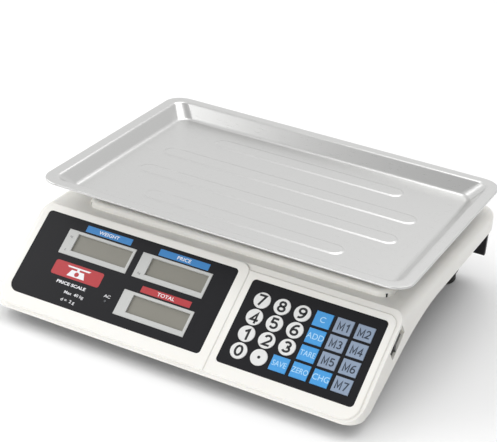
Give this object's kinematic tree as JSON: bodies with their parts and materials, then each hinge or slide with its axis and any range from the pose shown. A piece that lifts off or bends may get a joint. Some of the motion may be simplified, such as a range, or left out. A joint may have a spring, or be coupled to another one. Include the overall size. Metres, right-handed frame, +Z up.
{
  "type": "retail price scale",
  "caption": "Electronic counter scale with a lift-off stainless tray, sloped display and keypad panel, and a load cell over levelling feet.",
  "frame": {"origin": "on the ground under the middle of the scale's box", "axes": "+X to the right of the person at the keys, +Y from the keys towards the tray and the rear, +Z up"},
  "size_m": [0.34, 0.311, 0.1],
  "materials": {
    "stainless": "satin rolled stainless sheet",
    "housing_white": "moulded white ABS, fine satin",
    "base_black": "moulded black ABS",
    "film_black": "printed polyester film",
    "key_white": "printed key",
    "key_blue": "printed key",
    "key_grey": "printed key",
    "bezel_silver": "light grey display frame",
    "lcd_glass": "unlit reflective liquid crystal display",
    "circuit_board": "solder mask",
    "spring_steel": "bright",
    "zinc_steel": "zinc plated",
    "cell_aluminium": "milled",
    "cast_aluminium": "as cast",
    "rubber_black": "matte",
    "level_acrylic": "clear with green liquid",
    "battery_case": "moulded case",
    "core_steel": "varnished laminations",
    "inlet_black": "moulded"
  },
  "bodies": {
    "housing": {"upper_shell": "housing_white", "display_overlay": "film_black", "keypad_overlay": "film_black", "keypad_board": "circuit_board", "key_domes": "spring_steel", "lcd_bezels": "bezel_silver", "weight_lcd": "lcd_glass", "price_lcd": "lcd_glass", "total_lcd": "lcd_glass", "display_board": "circuit_board", "lower_base": "base_black", "foot_nuts": "zinc_steel", "base_frame": "zinc_steel", "frame_screws": "zinc_steel", "load_cell": "cell_aluminium", "load_cell_spacers": "zinc_steel", "pan_support": "cast_aluminium", "pan_pads": "rubber_black", "load_cell_bolts": "zinc_steel", "overload_stops": "zinc_steel", "spirit_level": "level_acrylic", "main_board": "circuit_board", "battery": "battery_case", "battery_door": "base_black", "base_screws": "zinc_steel", "transformer": "core_steel", "power_inlet": "inlet_black", "switch_body": "inlet_black", "rear_panel": "film_black", "rear_lcds": "lcd_glass"},
    "tray": {"platter": "stainless"},
    "rocker": {"power_rocker": "inlet_black"},
    "levelling_foot_front_left": {"foot_front_left": "rubber_black"},
    "levelling_foot_front_right": {"foot_front_right": "rubber_black"},
    "levelling_foot_rear_left": {"foot_rear_left": "rubber_black"},
    "levelling_foot_rear_right": {"foot_rear_right": "rubber_black"},
    "button_7": {"key_7": "key_white"},
    "button_8": {"key_8": "key_white"},
    "button_9": {"key_9": "key_white"},
    "button_clear": {"key_clear": "key_blue"},
    "button_m1": {"key_m1": "key_grey"},
    "button_m2": {"key_m2": "key_grey"},
    "button_4": {"key_4": "key_white"},
    "button_5": {"key_5": "key_white"},
    "button_6": {"key_6": "key_white"},
    "button_add": {"key_add": "key_blue"},
    "button_m3": {"key_m3": "key_grey"},
    "button_m4": {"key_m4": "key_grey"},
    "button_1": {"key_1": "key_white"},
    "button_2": {"key_2": "key_white"},
    "button_3": {"key_3": "key_white"},
    "button_tare": {"key_tare": "key_blue"},
    "button_m5": {"key_m5": "key_grey"},
    "button_m6": {"key_m6": "key_grey"},
    "button_0": {"key_0": "key_white"},
    "button_point": {"key_point": "key_white"},
    "button_save": {"key_save": "key_blue"},
    "button_zero": {"key_zero": "key_blue"},
    "button_change": {"key_change": "key_blue"},
    "button_m7": {"key_m7": "key_grey"}
  },
  "joints": [
    {"name": "tray_lift", "type": "slide", "parent": "housing", "child": "tray", "axis": [0, 0, 1], "range_m": [0, 0.05]},
    {"name": "rocker_tip", "type": "hinge", "parent": "housing", "child": "rocker", "pos_m": [0.1638, -0.0864, 0.05322], "axis": [0, -0.6101, 0.7923], "range_deg": [-18, 0]},
    {"name": "foot_front_left_screw", "type": "slide", "parent": "housing", "child": "levelling_foot_front_left", "axis": [0, 0, -1], "range_m": [-0.0014, 0.006]},
    {"name": "foot_front_right_screw", "type": "slide", "parent": "housing", "child": "levelling_foot_front_right", "axis": [0, 0, -1], "range_m": [-0.0014, 0.006]},
    {"name": "foot_rear_left_screw", "type": "slide", "parent": "housing", "child": "levelling_foot_rear_left", "axis": [0, 0, -1], "range_m": [-0.0014, 0.006]},
    {"name": "foot_rear_right_screw", "type": "slide", "parent": "housing", "child": "levelling_foot_rear_right", "axis": [0, 0, -1], "range_m": [-0.0014, 0.006]},
    {"name": "key_7_press", "type": "slide", "parent": "housing", "child": "button_7", "axis": [0, 0.6101, -0.7923], "range_m": [0, 0.0006], "stiffness_N_per_m": 1500, "springref_m": -0.0003},
    {"name": "key_8_press", "type": "slide", "parent": "housing", "child": "button_8", "axis": [0, 0.6101, -0.7923], "range_m": [0, 0.0006], "stiffness_N_per_m": 1500, "springref_m": -0.0003},
    {"name": "key_9_press", "type": "slide", "parent": "housing", "child": "button_9", "axis": [0, 0.6101, -0.7923], "range_m": [0, 0.0006], "stiffness_N_per_m": 1500, "springref_m": -0.0003},
    {"name": "key_clear_press", "type": "slide", "parent": "housing", "child": "button_clear", "axis": [0, 0.6101, -0.7923], "range_m": [0, 0.0006], "stiffness_N_per_m": 1500, "springref_m": -0.0003},
    {"name": "key_m1_press", "type": "slide", "parent": "housing", "child": "button_m1", "axis": [0, 0.6101, -0.7923], "range_m": [0, 0.0006], "stiffness_N_per_m": 1500, "springref_m": -0.0003},
    {"name": "key_m2_press", "type": "slide", "parent": "housing", "child": "button_m2", "axis": [0, 0.6101, -0.7923], "range_m": [0, 0.0006], "stiffness_N_per_m": 1500, "springref_m": -0.0003},
    {"name": "key_4_press", "type": "slide", "parent": "housing", "child": "button_4", "axis": [0, 0.6101, -0.7923], "range_m": [0, 0.0006], "stiffness_N_per_m": 1500, "springref_m": -0.0003},
    {"name": "key_5_press", "type": "slide", "parent": "housing", "child": "button_5", "axis": [0, 0.6101, -0.7923], "range_m": [0, 0.0006], "stiffness_N_per_m": 1500, "springref_m": -0.0003},
    {"name": "key_6_press", "type": "slide", "parent": "housing", "child": "button_6", "axis": [0, 0.6101, -0.7923], "range_m": [0, 0.0006], "stiffness_N_per_m": 1500, "springref_m": -0.0003},
    {"name": "key_add_press", "type": "slide", "parent": "housing", "child": "button_add", "axis": [0, 0.6101, -0.7923], "range_m": [0, 0.0006], "stiffness_N_per_m": 1500, "springref_m": -0.0003},
    {"name": "key_m3_press", "type": "slide", "parent": "housing", "child": "button_m3", "axis": [0, 0.6101, -0.7923], "range_m": [0, 0.0006], "stiffness_N_per_m": 1500, "springref_m": -0.0003},
    {"name": "key_m4_press", "type": "slide", "parent": "housing", "child": "button_m4", "axis": [0, 0.6101, -0.7923], "range_m": [0, 0.0006], "stiffness_N_per_m": 1500, "springref_m": -0.0003},
    {"name": "key_1_press", "type": "slide", "parent": "housing", "child": "button_1", "axis": [0, 0.6101, -0.7923], "range_m": [0, 0.0006], "stiffness_N_per_m": 1500, "springref_m": -0.0003},
    {"name": "key_2_press", "type": "slide", "parent": "housing", "child": "button_2", "axis": [0, 0.6101, -0.7923], "range_m": [0, 0.0006], "stiffness_N_per_m": 1500, "springref_m": -0.0003},
    {"name": "key_3_press", "type": "slide", "parent": "housing", "child": "button_3", "axis": [0, 0.6101, -0.7923], "range_m": [0, 0.0006], "stiffness_N_per_m": 1500, "springref_m": -0.0003},
    {"name": "key_tare_press", "type": "slide", "parent": "housing", "child": "button_tare", "axis": [0, 0.6101, -0.7923], "range_m": [0, 0.0006], "stiffness_N_per_m": 1500, "springref_m": -0.0003},
    {"name": "key_m5_press", "type": "slide", "parent": "housing", "child": "button_m5", "axis": [0, 0.6101, -0.7923], "range_m": [0, 0.0006], "stiffness_N_per_m": 1500, "springref_m": -0.0003},
    {"name": "key_m6_press", "type": "slide", "parent": "housing", "child": "button_m6", "axis": [0, 0.6101, -0.7923], "range_m": [0, 0.0006], "stiffness_N_per_m": 1500, "springref_m": -0.0003},
    {"name": "key_0_press", "type": "slide", "parent": "housing", "child": "button_0", "axis": [0, 0.6101, -0.7923], "range_m": [0, 0.0006], "stiffness_N_per_m": 1500, "springref_m": -0.0003},
    {"name": "key_point_press", "type": "slide", "parent": "housing", "child": "button_point", "axis": [0, 0.6101, -0.7923], "range_m": [0, 0.0006], "stiffness_N_per_m": 1500, "springref_m": -0.0003},
    {"name": "key_save_press", "type": "slide", "parent": "housing", "child": "button_save", "axis": [0, 0.6101, -0.7923], "range_m": [0, 0.0006], "stiffness_N_per_m": 1500, "springref_m": -0.0003},
    {"name": "key_zero_press", "type": "slide", "parent": "housing", "child": "button_zero", "axis": [0, 0.6101, -0.7923], "range_m": [0, 0.0006], "stiffness_N_per_m": 1500, "springref_m": -0.0003},
    {"name": "key_change_press", "type": "slide", "parent": "housing", "child": "button_change", "axis": [0, 0.6101, -0.7923], "range_m": [0, 0.0006], "stiffness_N_per_m": 1500, "springref_m": -0.0003},
    {"name": "key_m7_press", "type": "slide", "parent": "housing", "child": "button_m7", "axis": [0, 0.6101, -0.7923], "range_m": [0, 0.0006], "stiffness_N_per_m": 1500, "springref_m": -0.0003}
  ]
}
